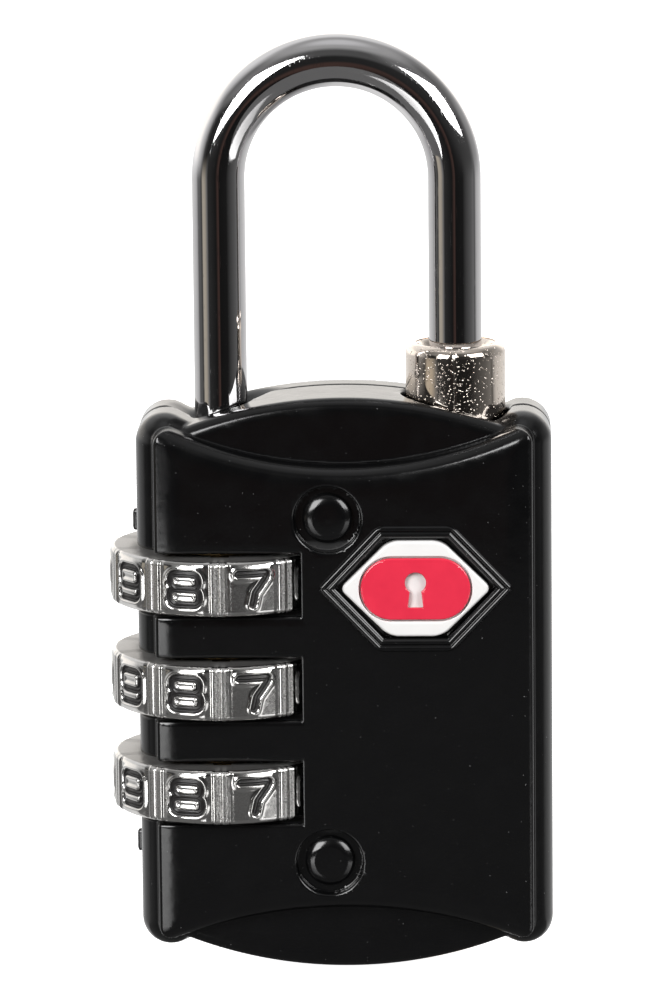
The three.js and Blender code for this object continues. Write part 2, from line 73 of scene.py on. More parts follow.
LEG_DIP = Sizes(radius=3.6, low=39.8, lean=1.3, drop=1.25)  # the sloping hollow behind the long leg
TONGUE = Sizes(left=-5.4, right=4.3, back=1.95, low=36.0, splay=0.55)

DIAL_X = -8.91
DIAL_HEIGHTS = [28.75, 21.115, 13.48]
RING = Sizes(outer=8.2, bore=5.3, height=4.0, positions=10, edge=0.36, chamfer=0.1)
NOTCHES = Sizes(radius=5.95, width=1.4, corner=0.03)
POCKET = Sizes(radius=8.62, height=4.6)
LEG_CHAMBER = Sizes(radius=4.5, low=5.6, top=33.3, foot=3.4, bottom=2.3)
LEG_HOLE = 2.2

BAR_RADIUS = 1.915
BAR_TIP = [(0.0, 0.25), (0.1, 0.08)]  # distance from the bar's end, and how much thinner the bar is there
LEG_SPACING = 17.0
ARCH_Z = 57.385
LEG_END = 2.6
TOE_END = 41.5
FIN = Sizes(reach=2.85, width=2.4, height=1.2, below=0.9, bevel=0.12)
RETAINER_GROOVE = Sizes(low=2.9, high=3.95, radius=1.5, corner=0.02)

LOCK_X = DIAL_X + LEG_SPACING
COLLAR = Sizes(outer=3.615, top=45.4, bottom=28.6, bore=2.3, toe_floor=41.0, partition=39.5,
               shoulder=0.75, foot=0.2, centre=0.02)
COLLAR_MOUTH = [(0.6, 0.04), (0.35, 0.12), (0.0, 0.55)]  # distance outside the bore, and below the top
PARTING = Sizes(height=0.05, half=0.022, skin=0.3)
COLLAR_HOLE = 3.95
HOUSING = Sizes(hole=4.0, lip=3.5, lip_top=2.3, high=22.7)
PIN_SLOT = Sizes(reach=4.6, half=0.85, low=24.55, high=30.85)
DETENT_ROOM = Sizes(left=-0.3, right=0.75, half=2.5)

RIVETS = {"upper_rivet": (-1.14, 33.54), "lower_rivet": (-1.17, 8.32)}
RIVET = Sizes(recess=2.4, depth=0.9, head=1.78, height=0.62, bow=1.25, shank=1.2, gap=0.3, sunk=0.05,
              collar=0.06, crown=0.01, flat=0.5, centre=0.02)
RIVET_SHOULDER = (48, 85)  # where the head's rounding starts and ends, in degrees from straight out
HEX = Sizes(x=5.17, z=28.5, half_width=7.03, half_flat=2.7, half_height=4.57)
HEX_RECESS = Sizes(inward=0.92, floor=-5.6, corner=0.3, rim=0.18)
HEX_RIDGES = [(0.2, 0.2, 0.25), (0.64, 0.19, 0.21)]  # middle, inward from the hexagon; half width; height
HEX_RIDGE = Sizes(corner=0.35, edge=0.2, valley=0.12, foot=0.08, sunk=0.15)
HEX_BED = Sizes(middle=0.45, half=0.46, height=0.05)
BADGE = Sizes(half_width=5.46, half_flat=1.9, half_height=3.5, back=-5.8, front=-6.72, radius=0.5,
              edge=0.22, back_edge=0.05, dome=0.0022)
SYMBOL = Sizes(half_length=3.95, radius=2.25, front=-6.78, back=-6.45, edge=0.12)
SYMBOL_SEAT = Sizes(gap=0.12, deeper=0.1, rim=0.06)
KEYHOLE = Sizes(radius=0.75, up=0.45, stem_half=0.38, stem_low=-1.35, stem_lean=0.12, rim=0.06)
INDEX_RIDGE = Sizes(out=0.5, y=1.0, half=0.4, spans=[(31.5, 33.1), (7.5, 9.15)], edge=0.2, foot=0.1)

DIGIT = Sizes(half_width=1.14, half_height=1.13, stroke=0.24, sink=0.15, wall=(-0.07, 0.05), lip=0.09,
              lip_width=0.15, lip_out=0.14, middle_line=0.09, line_width=0.07, ink=(-0.03, 0.05))
CORNER_PULL = 0.85  # how far a rounded corner of a number is drawn towards the sharp corner
RIB = Sizes(half=0.6, edge=0.05, groove_end=0.95, groove=0.1, groove_rise=(-0.25, 0.15), crease=0.06,
            crease_width=0.05, border=0.035, border_in=0.09, border_width=0.07)
FIELD_DROP = 0.04  # how far the number fields lie below the ribs
GRAIN = Sizes(start=(0.05, 0.12), end=(-0.2, -0.12))  # measured from a rib's middle, and from its edge

FINE = 1
SHELL_STEP = 0.11 * FINE
REAR_STEP = 0.15 * FINE
BADGE_STEP = 0.05 * FINE
SHELL_MERGING = 0.015  # how readily small faces on flat stretches become larger ones
BADGE_MERGING = 0.01
SKIN_MARGIN = 0.1
RING_COLUMNS = 80 // FINE  # round each number's share of the rim
RING_ROWS = 76 // FINE
COLLAR_COLUMNS = 420 // FINE
BAR_SIDES = 72
RIVET_COLUMNS = 96


# ---- signed distance fields ----
def length(a, b):
    return np.sqrt(a * a + b * b)


def blend(a, b, radius):
    """Both shapes, with a fillet of the given radius where they meet."""
    near = length(np.maximum(radius - a, 0), np.maximum(radius - b, 0))
    return np.maximum(radius, np.minimum(a, b)) - near


def overlap(a, b, radius):
    """What two shapes share, with its edge rounded."""
    near = length(np.maximum(radius + a, 0), np.maximum(radius + b, 0))
    return np.minimum(-radius, np.maximum(a, b)) + near


def carve(a, b, radius):
    """The first shape without the second, with the edge of the cut rounded."""
    return overlap(a, -b, radius)


def slab(value, low, high):
    return np.abs(value - (low + high) / 2) - (high - low) / 2


class Lattice:
    """Sample points on a regular grid, as three arrays that broadcast against each other."""

    def __init__(self, low, high, step):
        self.step = step
        self.low = np.array(low, float) - 2 * step
        counts = np.ceil((np.array(high, float) + 2 * step - self.low) / step).astype(int) + 1
        axes = [start + step * np.arange(count) for start, count in zip(self.low, counts)]
        self.x, self.y, self.z = (axis.astype(np.float32) for axis in np.ix_(*axes))


def disc(x, z, centre_x, centre_z, radius):
    return length(x - centre_x, z - centre_z) - radius


def arch_radius(half_chord, rise):
    return (half_chord**2 + rise**2) / (2 * rise)


def barrel(at):
    """The outline with bowed ends, which shows between the ears."""
    top = arch_radius(NOTCH.x, BODY_TOP - NOTCH.top)
    bottom = arch_radius(NOTCH.x, NOTCH.bottom)
    ends = np.maximum(disc(at.x, at.z, 0, BODY_TOP - top, top), disc(at.x, at.z, 0, bottom, bottom))
    return np.maximum(ends, np.abs(at.x) - (NOTCH.x + NOTCH.lap))


def hollow_radius(reach, rise, radius):
    """Radius of the hollow arc that runs smoothly into a rounded ear at each side."""
    return (reach**2 + rise**2 - radius**2) / (2 * (radius - rise))


def half_eared(x, z, half_width, radius, middle, ear_centre):
    """Everything below a hollow arc, between straight sides, with a rounded ear at each side."""
    reach = half_width - radius
    rise = middle - ear_centre
    arch = hollow_radius(reach, rise, radius)
    aside = np.abs(x) - reach
    up = z - ear_centre
    in_ear = (up > 0) & (aside * (arch + rise) > -reach * up)
    straight = np.maximum(np.abs(x) - half_width, -disc(x, z, 0, middle + arch, arch))
    return np.where(in_ear, length(aside, up) - radius, straight)


def eared(at, shape):
    """The outline of the shield or the plateau: straight sides, hollow ends and rounded ears."""
    radius = shape.radius
    upper = half_eared(at.x, at.z, shape.x, radius, shape.top, shape.ear_top - radius)
    lower = half_eared(at.x, -at.z, shape.x, radius, -shape.bottom, -shape.ear_bottom - radius)
    return np.maximum(upper, lower)


def body_outline(at):
    return blend(barrel(at), eared(at, SHIELD), ROUNDING.outline)


def plateau_ends(at):
    """The two hollow arcs that end the raised middle, without its sides."""
    radius = PLATEAU.radius
    reach = PLATEAU.x - radius
    upper = hollow_radius(reach, PLATEAU.top - (PLATEAU.ear_top - radius), radius)
    lower = hollow_radius(reach, PLATEAU.ear_bottom + radius - PLATEAU.bottom, radius)
    above = disc(at.x, at.z, 0, PLATEAU.top + upper, upper)
    below = disc(at.x, at.z, 0, PLATEAU.bottom - lower, lower)
    return -np.minimum(above, below)


def hexagon(at, shape, radius):
    """A hexagon with a point at each side, centred on the badge, with rounded corners."""
    across = np.abs(at.x - HEX.x) - shape.half_width
    up = at.z - HEX.z
    run = shape.half_width - shape.half_flat
    slope = math.hypot(run, shape.half_height)
    upper = (across * shape.half_height + up * run) / slope
    lower = (across * shape.half_height - up * run) / slope
    return overlap(overlap(upper, lower, radius), np.abs(up) - shape.half_height, radius)


def round_ended(at, half_length, radius):
    """A lying oval with straight long sides, centred on the badge."""
    along = np.maximum(np.abs(at.x - HEX.x) - (half_length - radius), 0)
    return length(along, at.z - HEX.z) - radius


def upright(at, centre_x, radius, low, high):
    """A vertical cylinder whose axis is on the plane of the legs."""
    wall = length(at.x - centre_x, at.y) - radius
    return np.maximum(wall, slab(at.z, low, high))


def block(at, x, y, z):
    return np.maximum(np.maximum(slab(at.x, *x), slab(at.y, *y)), slab(at.z, *z))


def without_hollows(at, field):
    """Takes out of a shell the rooms that both shells make for the works."""
    for z in DIAL_HEIGHTS:
        half = POCKET.height / 2
        room = upright(at, DIAL_X, POCKET.radius, z - half, z + half)
        field = carve(field, room, ROUNDING.pocket)
    above = BODY_TOP + 1
    for room in (
        upright(at, DIAL_X, LEG_CHAMBER.foot, LEG_CHAMBER.bottom, LEG_CHAMBER.low + 1),
        upright(at, DIAL_X, LEG_CHAMBER.radius, LEG_CHAMBER.low, LEG_CHAMBER.top),
        upright(at, LOCK_X, HOUSING.hole, HOUSING.lip_top, HOUSING.high),
        block(at, (LOCK_X, LOCK_X + PIN_SLOT.reach), (-PIN_SLOT.half, PIN_SLOT.half),
              (PIN_SLOT.low, PIN_SLOT.high)),
        block(at, (DETENT_ROOM.left, DETENT_ROOM.right), (-DETENT_ROOM.half, DETENT_ROOM.half),
              (DIAL_HEIGHTS[2] - POCKET.height / 2, DIAL_HEIGHTS[0] + POCKET.height / 2)),
    ):
        field = np.maximum(field, -room)
    for hole in (
        upright(at, DIAL_X, LEG_HOLE, LEG_CHAMBER.top - 1, above),
        upright(at, LOCK_X, COLLAR_HOLE, HOUSING.high - 1, above),
        upright(at, LOCK_X, HOUSING.lip, -1, HOUSING.lip_top + 0.1),
    ):
        field = carve(field, hole, ROUNDING.hole)
    return field


def without_rivet_holes(at, field):
    for x, z in RIVETS.values():
        away = disc(at.x, at.z, x, z, 0)
        front = np.maximum(away - RIVET.recess, at.y - (DEPTH.plateau + RIVET.depth))
        rear = np.maximum(away - RIVET.recess, (DEPTH.rear_plateau - RIVET.depth) - at.y)
        field = carve(field, front, ROUNDING.rivet_hole)
        field = carve(field, rear, ROUNDING.rivet_hole)
        field = np.maximum(field, -(away - RIVET.shank - RIVET.gap))
    return field


def tongue_room(at, gap):
    """The part of the top that belongs to the front shell although it lies behind the seam."""
    splay = TONGUE.splay * (TONGUE.back - at.y)
    ends = np.maximum(TONGUE.left - splay - at.x, at.x - TONGUE.right - splay)
    across = np.maximum(at.y - TONGUE.back, TONGUE.low - at.z)
    return np.maximum(ends, across) - gap


def raised_middle(at):
    """The front's flat middle. It falls away a little towards its sides and ends, and its walls lean."""
    sides = eared(at, PLATEAU)
    lean = DRAFT * (at.y - DEPTH.plateau)
    fall = PLATEAU_EDGE.fall * np.clip(1 + sides / PLATEAU_EDGE.width, 0, 1) ** 2
    face = DEPTH.plateau + fall - at.y
    return np.maximum(overlap(sides - lean, face, PLATEAU_EDGE.sharp),
                      overlap(plateau_ends(at) - lean, face, PLATEAU_EDGE.soft))


def front_shell_field(at):
    base = overlap(barrel(at), DEPTH.lens - at.y, ROUNDING.barrel)
    ledge = overlap(eared(at, SHIELD), DEPTH.ledge - at.y, ROUNDING.ledge)
    field = np.maximum(blend(base, ledge, ROUNDING.ledge_foot), body_outline(at))
    field = blend(field, raised_middle(at), ROUNDING.plateau_foot)
    recess = hexagon(at, HEX, HEX_RECESS.corner) + HEX_RECESS.inward
    recess = np.maximum(recess, at.y - HEX_RECESS.floor)
    field = carve(field, recess, HEX_RECESS.rim)
    beyond = np.minimum(at.y + SEAM / 2, tongue_room(at, 0))
    field = overlap(field, beyond, ROUNDING.seam)
    return without_rivet_holes(at, without_hollows(at, field))


def rear_shell_field(at):
    base = overlap(body_outline(at), at.y - DEPTH.rear_ledge, ROUNDING.rear_ledge)
    middle = overlap(eared(at, PLATEAU), at.y - DEPTH.rear_plateau, ROUNDING.rear_plateau)
    deep = overlap(barrel(at), at.y - DEPTH.rear_barrel, ROUNDING.barrel)
    field = blend(np.minimum(base, deep), middle, ROUNDING.rear_foot)
    for low, high in INDEX_RIDGE.spans:
        across = np.abs(at.y - INDEX_RIDGE.y) - INDEX_RIDGE.half
        reach = np.abs(at.x + HALF_WIDTH) - INDEX_RIDGE.out
        along = slab(at.z, low, high)
        ridge = overlap(overlap(across, reach, INDEX_RIDGE.edge), along, INDEX_RIDGE.edge)
        field = blend(field, ridge, INDEX_RIDGE.foot)
    field = overlap(field, SEAM / 2 - at.y, ROUNDING.rear_seam)
    field = carve(field, tongue_room(at, SEAM), ROUNDING.seam)
    slope = LEG_DIP.lean * (at.z - BODY_TOP + LEG_DIP.drop)
    dip = length(at.x - DIAL_X, at.y) - LEG_DIP.radius - slope
    dip = np.maximum(dip / math.hypot(1, LEG_DIP.lean), LEG_DIP.low - at.z)
    field = carve(field, dip, ROUNDING.leg_dip)
    return without_rivet_holes(at, without_hollows(at, field))


def hex_ridges_field(at):
    """Two thin raised lines round the badge's recess, one inside the other, on a shared bed."""
    inward = -hexagon(at, HEX, HEX_RIDGE.corner)
    ridges = []
    for middle, half, height in HEX_RIDGES:
        across = np.abs(inward - middle) - half
        ridges.append(overlap(across, DEPTH.plateau - height - at.y, HEX_RIDGE.edge))
    field = blend(*ridges, HEX_RIDGE.valley)
    bed = np.maximum(np.abs(inward - HEX_BED.middle) - HEX_BED.half,
                     DEPTH.plateau - HEX_BED.height - at.y)
    return np.maximum(blend(field, bed, HEX_RIDGE.foot), at.y - (DEPTH.plateau + HEX_RIDGE.sunk))


def badge_plate_field(at):
    outline = hexagon(at, BADGE, BADGE.radius)
    dome = BADGE.dome * ((at.x - HEX.x) ** 2 + 2 * (at.z - HEX.z) ** 2)
    field = overlap(outline, BADGE.front + dome - at.y, BADGE.edge)
    field = overlap(field, at.y - BADGE.back, BADGE.back_edge)
    gap = SYMBOL_SEAT.gap
    seat = round_ended(at, SYMBOL.half_length + gap, SYMBOL.radius + gap)
    seat = np.maximum(seat, at.y - (SYMBOL.back + SYMBOL_SEAT.deeper))
    return carve(field, seat, SYMBOL_SEAT.rim)


def badge_symbol_field(at):
    outline = round_ended(at, SYMBOL.half_length, SYMBOL.radius)
    field = overlap(outline, SYMBOL.front - at.y, SYMBOL.edge)
    field = np.maximum(field, at.y - SYMBOL.back)
    up = at.z - HEX.z
    keyhole = disc(at.x, up, HEX.x, KEYHOLE.up, KEYHOLE.radius)
    stem = np.maximum(np.abs(at.x - HEX.x) - KEYHOLE.stem_half + KEYHOLE.stem_lean * up,
                      slab(up, KEYHOLE.stem_low, KEYHOLE.up))
    return carve(field, np.minimum(keyhole, stem), KEYHOLE.rim)


# ---- meshes ----
def sampled(field, places):
    """The field's value at fractional grid places, by trilinear weighting."""
    top = np.array(field.shape) - 2
    cell = np.clip(np.floor(places).astype(int), 0, top)
    part = places - cell
    total = np.zeros(len(places))
    for corner in range(8):
        offset = np.array([corner & 1, corner >> 1 & 1, corner >> 2 & 1])
        weight = np.prod(np.where(offset, part, 1 - part), axis=1)
        where = cell + offset
        total += weight * field[where[:, 0], where[:, 1], where[:, 2]]
    return total


def field_slope(field, places):
    """The direction in which the field rises at each place, from samples 0.6 of a cell to each side."""
    slope = np.zeros((len(places), 3))
    for axis in range(3):
        nudge = np.zeros(3)
        nudge[axis] = 0.6
        slope[:, axis] = sampled(field, places + nudge) - sampled(field, places - nudge)
    return slope / np.maximum(np.linalg.norm(slope, axis=1, keepdims=True), 1e-9)


def skinned(make_field, low, high, step, merging):
    """Points in millimetres, faces and outward normals of the surface where the field is zero."""
    at = Lattice(low, high, step)
    field = make_field(at).astype(np.float32)
    band = 3 * step
    grid = openvdb.FloatGrid(band)
    grid.copyFromArray(np.clip(field, -band, band), tolerance=1e-6)
    places, triangles, quads = grid.convertToPolygons(isovalue=0.0, adaptivity=merging)
    normals = field_slope(field, places)
    faces = [list(f) for f in triangles.tolist()] + [list(f) for f in quads.tolist()]
    tested = np.array([f[:3] for f in faces[-200:]])  # enough faces to tell which way round they all are
    sample = places[tested]
    turned = np.cross(sample[:, 1] - sample[:, 0], sample[:, 2] - sample[:, 0])
    if np.sum(turned * normals[tested[:, 0]]) < 0:
        faces = [f[::-1] for f in faces]
    return at.low + places * step, faces, normals


def joined(*skins):
    """Several (points, faces, normals) as one."""
    points, faces, normals, start = [], [], [], 0
    for some_points, some_faces, some_normals in skins:
        points.append(some_points)
        normals.append(some_normals)
        faces += [[i + start for i in f] for f in some_faces]
        start += len(some_points)
    return np.concatenate(points), faces, np.concatenate(normals)


def linked(name, data):
    """A new object that is in the scene."""
    piece = bpy.data.objects.new(name, data)
    bpy.context.scene.collection.objects.link(piece)
    return piece


def mesh_object(name, points, faces, normals=None, sharp=None):
    """A smooth-shaded object from body-frame points in millimetres."""
    mesh = bpy.data.meshes.new(name)
    mesh.from_pydata((np.asarray(points) * MM).tolist(), [], faces)
    mesh.polygons.foreach_set("use_smooth", [True] * len(mesh.polygons))
    if normals is not None:
        mesh.normals_split_custom_set_from_vertices(np.asarray(normals).tolist())
    if sharp is not None:
        mesh.set_sharp_from_angle(angle=sharp)
    mesh.update()
    piece = linked(name, mesh)
    piece.location.x = BODY_CENTRE_X
    return piece


def grid_faces(rows, columns, close_rows=False):
    """Quads of a grid of points, stored row by row, whose columns go all the way round."""
    faces = []
    for i in range(rows if close_rows else rows - 1):
        for j in range(columns):
            right = (j + 1) % columns
            up = (i + 1) % rows
            faces.append([i * columns + j, i * columns + right, up * columns + right, up * columns + j])
    return faces


def tube_faces(rows, columns):
    """Quads of a grid of points that is closed at both ends by a flat face."""
    first = list(range(columns))
    last = [(rows - 1) * columns + j for j in first]
    return [*grid_faces(rows, columns), first[::-1], last]


def smoothstep(low, high, value):
    t = np.clip((value - low) / (high - low), 0, 1)
    return t * t * (3 - 2 * t)


# ---- digits ----
def corner_arc(before, corner, after, radius):
    """Points of a rounded corner between two straight runs."""
    steps = 7
    a = before - corner
    b = after - corner
    reach_a = np.linalg.norm(a)
    reach_b = np.linalg.norm(b)
    a, b = a / reach_a, b / reach_b
    half = math.acos(float(np.clip(a @ b, -1, 1))) / 2
    cut = min(radius / math.tan(half), reach_a * 0.5, reach_b * 0.5)
    start = corner + a * cut
    end = corner + b * cut
    pulled = corner * CORNER_PULL + (start + end) * (1 - CORNER_PULL) / 2
    shares = [i / steps for i in range(steps + 1)]
    return [(1 - t) ** 2 * start + 2 * t * (1 - t) * pulled + t**2 * end for t in shares]


def rounded_path(points, radius, closed):
    points = [np.array(p, float) for p in points]
    count = len(points)
    path = []
    for i, point in enumerate(points):
        if closed or 0 < i < count - 1:
            path += corner_arc(points[i - 1], point, points[(i + 1) % count], radius)
        else:
            path.append(point)
    if closed:
        path.append(path[0])
    return path


def digit_strokes(digit):
    """Centrelines of a number, in shares of its half width and half height: (points, rounding, closed)."""
    nine = [([(-1, -0.22), (1, -0.22), (1, 1), (-1, 1)], 0.52, True),
            ([(1, 0.5), (1, -1), (-0.98, -1), (-1.02, -0.66)], 0.5, False)]
    return {
        0: [([(-1, -1), (1, -1), (1, 1), (-1, 1)], 0.7, True)],
        1: [([(-0.5, 0.6), (0.15, 1), (0.15, -1)], 0.15, False)],
        2: [([(-1, 0.5), (-1, 1), (1, 1), (1, 0.08), (-1, -0.3), (-1, -1)], 0.55, False),
            ([(-1, -1), (1, -1)], 0, False)],
        3: [([(-1, 0.6), (-1, 1), (1, 1), (1, 0.06), (-0.3, 0.06)], 0.55, False),
            ([(-0.3, 0.06), (1, 0.06), (1, -1), (-1, -1), (-1, -0.6)], 0.55, False)],
        4: [([(0.5, -1), (0.5, 1), (-1, -0.4), (1.05, -0.4)], 0.12, False)],
        5: [([(0.95, 1), (-0.9, 1), (-0.95, 0.15), (1, 0.15), (1, -1), (-1, -1), (-1, -0.62)], 0.45, False)],
        6: [([(-x, -y) for x, y in points], rounding, closed) for points, rounding, closed in nine],
        7: [([(-1, 1), (0.92, 1), (0.86, 0.72), (0.12, -0.22), (-0.06, -1)], 0.42, False)],
        8: [([(-0.95, 0.02), (0.95, 0.02), (0.95, 1), (-0.95, 1)], 0.5, True),
            ([(-1.02, -1), (1.02, -1), (1.02, 0.02), (-1.02, 0.02)], 0.52, True)],
        9: nine,
    }[digit]


def stroke_distance(digit, across, up):
    """Distance of each point from the middle of the number's nearest stroke, in millimetres."""
    nearest = np.full(across.shape, 99.0)
    scale = np.array([DIGIT.half_width, DIGIT.half_height])
    for points, rounding, closed in digit_strokes(digit):
        scaled = [np.array(p) * scale for p in points]
        path = rounded_path(scaled, rounding, closed)
        for a, b in zip(path, path[1:]):
            run = b - a
            share = ((across - a[0]) * run[0] + (up - a[1]) * run[1]) / max(run @ run, 1e-12)
            share = np.clip(share, 0, 1)
            nearest = np.minimum(nearest, length(across - a[0] - share * run[0], up - a[1] - share * run[1]))
    return nearest


# ---- number rings ----
def hump(value, middle, width):
    return np.exp(-(((value - middle) / width) ** 2))


def rib_relief(turn):
    """The ribs between the numbers: a creased bar with raised borders in a shallow groove, and its grain."""
    pitch = 2 * math.pi / RING.positions
    aside = np.abs(turn - np.round(turn / pitch) * pitch) * RING.outer
    half, edge = RIB.half, RIB.edge
    rise, level = RIB.groove_rise
    crease = -RIB.crease * hump(aside, 0, RIB.crease_width)
    border = RIB.border * hump(aside, half - RIB.border_in, RIB.border_width)
    inside = 1 - smoothstep(half - edge, half + edge, aside)
    beyond = smoothstep(RIB.groove_end + rise, RIB.groove_end + level, aside)
    relief = inside * (crease + border) - RIB.groove * (1 - inside) * (1 - beyond) - FIELD_DROP * beyond
    start, end = GRAIN.start, GRAIN.end
    grain = inside * smoothstep(*start, aside) * (1 - smoothstep(half + end[0], half + end[1], aside))
    return relief, grain


def rim_relief(turn, up):
    """Height of the rim's relief at each angle from the front and height, how inky it is, and its grain."""
    relief, grain = rib_relief(turn)
    ink = np.zeros_like(relief)
    pitch = 2 * math.pi / RING.positions
    for digit in range(10):
        middle = (8 - digit) * pitch - pitch / 2
        away = (turn - middle + math.pi) % (2 * math.pi) - math.pi
        near = np.abs(away) < pitch / 2
        across = (away * RING.outer)[near]
        edge = stroke_distance(digit, across, np.broadcast_to(up, turn.shape)[near]) - DIGIT.stroke
        lip = DIGIT.lip * hump(edge, DIGIT.lip_out, DIGIT.lip_width)
        sunk = 1 - smoothstep(*DIGIT.wall, edge)
        line = DIGIT.middle_line * hump(edge, -DIGIT.stroke, DIGIT.line_width)
        relief[near] += lip - (DIGIT.sink + DIGIT.lip * 0.4) * sunk + line
        ink[near] = 1 - smoothstep(*DIGIT.ink, edge)
    return relief, ink, grain


def rim_profile():
    """The rim from bottom to top, as (distance out from the outer radius, height) points."""
    half = RING.height / 2
    edge = RING.edge
    arc = np.linspace(math.pi / 2, 0, 7)
    lower = [(edge * math.cos(a) - edge, -half + edge - edge * math.sin(a)) for a in arc]
    face = [(0.0, z) for z in np.linspace(-half + edge, half - edge, RING_ROWS)[1:-1]]
    upper = [(out, -z) for out, z in reversed(lower)]
    return np.array(lower + face + upper)


def ring_mesh():
    columns = RING.positions * RING_COLUMNS
    half = RING.height / 2
    edge = RING.edge
    rim = rim_profile()
    turn = np.linspace(0, 2 * math.pi, columns, endpoint=False)
    turns = np.broadcast_to(turn, (len(rim), columns))
    relief, ink, grain = rim_relief(turns, rim[:, 1:2])
    fade = smoothstep(-edge, -edge * 0.4, rim[:, :1])
    radius = RING.outer + rim[:, :1] + relief * fade
    pitch = 2 * math.pi / RING.positions
    off_notch = np.abs((turn + pitch / 2) % pitch - pitch / 2) * NOTCHES.radius - NOTCHES.width / 2
    corner = NOTCHES.corner
    bore = NOTCHES.radius + (RING.bore - NOTCHES.radius) * smoothstep(-corner, corner, off_notch)
    cut = RING.chamfer
    rows = [(radius[i], rim[i, 1]) for i in range(len(rim))]
    rows += [(bore + cut, half), (bore, half - cut), (bore, -half + cut), (bore + cut, -half)]
    points = np.concatenate([
        np.stack([r * np.sin(turn), -r * np.cos(turn), np.full(columns, z)], axis=1) for r, z in rows
    ])
    cast = np.zeros((len(rows), columns))
    cast[0] = cast[len(rim) - 1:] = 1
    smooth_bore = np.zeros(4 * columns)
    marks = {"ink": np.append(ink, smooth_bore), "grain": np.append(grain, smooth_bore), "cast": cast.ravel()}
    return points, grid_faces(len(rows), columns, close_rows=True), marks


def number_rings(material):
    points, faces, marks = ring_mesh()
    template = mesh_object("number_ring_look_1", points, faces, sharp=math.radians(55))
    for name, values in marks.items():
        attribute = template.data.attributes.new(name, "FLOAT", "POINT")
        attribute.data.foreach_set("value", values.astype(np.float32))
    for i, z in enumerate(DIAL_HEIGHTS, 1):
        ring = template
        if i > 1:
            ring = linked(f"number_ring_look_{i}", template.data)
        ring.location = (BODY_CENTRE_X + DIAL_X * MM, 0, z * MM)
        settle(ring, material, f"dial_{i}", "dial_plate", f"number_ring_{i}")


# ---- shackle, collar and rivets ----
def swept(path, radii, sides):
    """A round bar along a path in the plane of the legs. The ends are closed."""
    path = np.array(path)
    run = np.gradient(path, axis=0)
    run /= np.linalg.norm(run, axis=1, keepdims=True)
    aside = np.stack([run[:, 1], -run[:, 0]], axis=1)
    angle = np.linspace(0, 2 * math.pi, sides, endpoint=False)
    points = []
    for (x, z), (side_x, side_z), radius in zip(path, aside, radii):
        ring = np.stack([x + radius * side_x * np.cos(angle), radius * np.sin(angle),
                         z + radius * side_z * np.cos(angle)], axis=1)
        points.append(ring)
    return np.concatenate(points), tube_faces(len(path), sides)


def leg_stations():
    """Heights and radii up the long leg, from its rounded end past the retaining groove."""
    low, high, groove = RETAINER_GROOVE.low, RETAINER_GROOVE.high, RETAINER_GROOVE.radius
    corner = RETAINER_GROOVE.corner
    end = [(LEG_END + up, BAR_RADIUS - thinner) for up, thinner in BAR_TIP]
    waist = [(low, BAR_RADIUS), (low + corner, groove), (high - corner, groove), (high, BAR_RADIUS)]
    rest = [(z, BAR_RADIUS) for z in np.linspace(high + 0.1, ARCH_Z, 60)]
    return [*end, (LEG_END + 0.2, BAR_RADIUS), *waist, *rest]


def bar():
    """The bent bar: up the long leg, over the arch and down to the rounded toe."""
    half = LEG_SPACING / 2
    middle = DIAL_X + half
    stations = [(DIAL_X, z, r) for z, r in leg_stations()]
    for angle in np.linspace(math.pi, 0, 121)[1:]:
        stations.append((middle + half * math.cos(angle), ARCH_Z + half * math.sin(angle), BAR_RADIUS))
    for z in np.linspace(ARCH_Z, TOE_END + 0.25, 18)[1:]:
        stations.append((LOCK_X, z, BAR_RADIUS))
    stations += [(LOCK_X, TOE_END + up, BAR_RADIUS - thinner) for up, thinner in reversed(BAR_TIP)]
    table = np.array(stations)
    return swept(table[:, :2], table[:, 2], BAR_SIDES)


def shackle(material):
    points, faces = bar()
    half = FIN.width / 2
    for z in DIAL_HEIGHTS:
        top = z - FIN.below
        fin_points, fin_faces = bevelled_block((DIAL_X, DIAL_X + FIN.reach), (-half, half),
                                               (top - FIN.height, top), FIN.bevel)
        faces += [[i + len(points) for i in f] for f in fin_faces]
        points = np.concatenate([points, fin_points])
    piece = mesh_object("shackle_look", points, faces, sharp=math.radians(40))
    settle(piece, material, "shackle", "polished_chrome", "shackle")


def bevelled_block(x, y, z, bevel):
    """A block whose upright edges are cut off."""
    outline = []
    for corner_x, inward_x in ((x[0], bevel), (x[1], -bevel)):
        for corner_y, inward_y in ((y[0], bevel), (y[1], -bevel)):
            outline += [(corner_x + inward_x, corner_y), (corner_x, corner_y + inward_y)]
    middle = np.mean(outline, axis=0)
    outline.sort(key=lambda p: math.atan2(p[1] - middle[1], p[0] - middle[0]))
    points = [(px, py, height) for height in z for px, py in outline]
    return np.array(points), tube_faces(2, len(outline))


def lathed(profile, columns, relief=None):
    """A closed solid of revolution round a vertical axis, from (radius, height) corners."""
    profile = np.array(profile)
    angle = np.linspace(0, 2 * math.pi, columns, endpoint=False)
    radius = np.repeat(profile[:, :1], columns, axis=1)
    height = np.repeat(profile[:, 1:], columns, axis=1)
    if relief is not None:
        radius = radius + relief(angle[None, :], radius, height)
    points = np.stack([radius * np.sin(angle), -radius * np.cos(angle), height], axis=-1)
    return points.reshape(-1, 3), grid_faces(len(profile), columns, close_rows=True)


def fillet(centre_radius, centre_height, size, start, end, steps):
    """Points of a round in a lathe profile; the angles are in degrees from straight out, turning up."""
    angles = np.linspace(math.radians(start), math.radians(end), steps)
    return [(centre_radius + size * math.cos(a), centre_height + size * math.sin(a)) for a in angles]


def parting(angle, radius, height):
    """A thin mould line at the collar's front and back, and a slightly uneven casting."""
    outside = radius > COLLAR.outer - PARTING.skin
    line = PARTING.height * hump(np.sin(angle), 0, PARTING.half)
    uneven = 0.02 * np.sin(3 * angle + 0.7) + 0.012 * np.sin(7 * angle + 0.5 * height)
    return np.where(outside, line + uneven, 0)


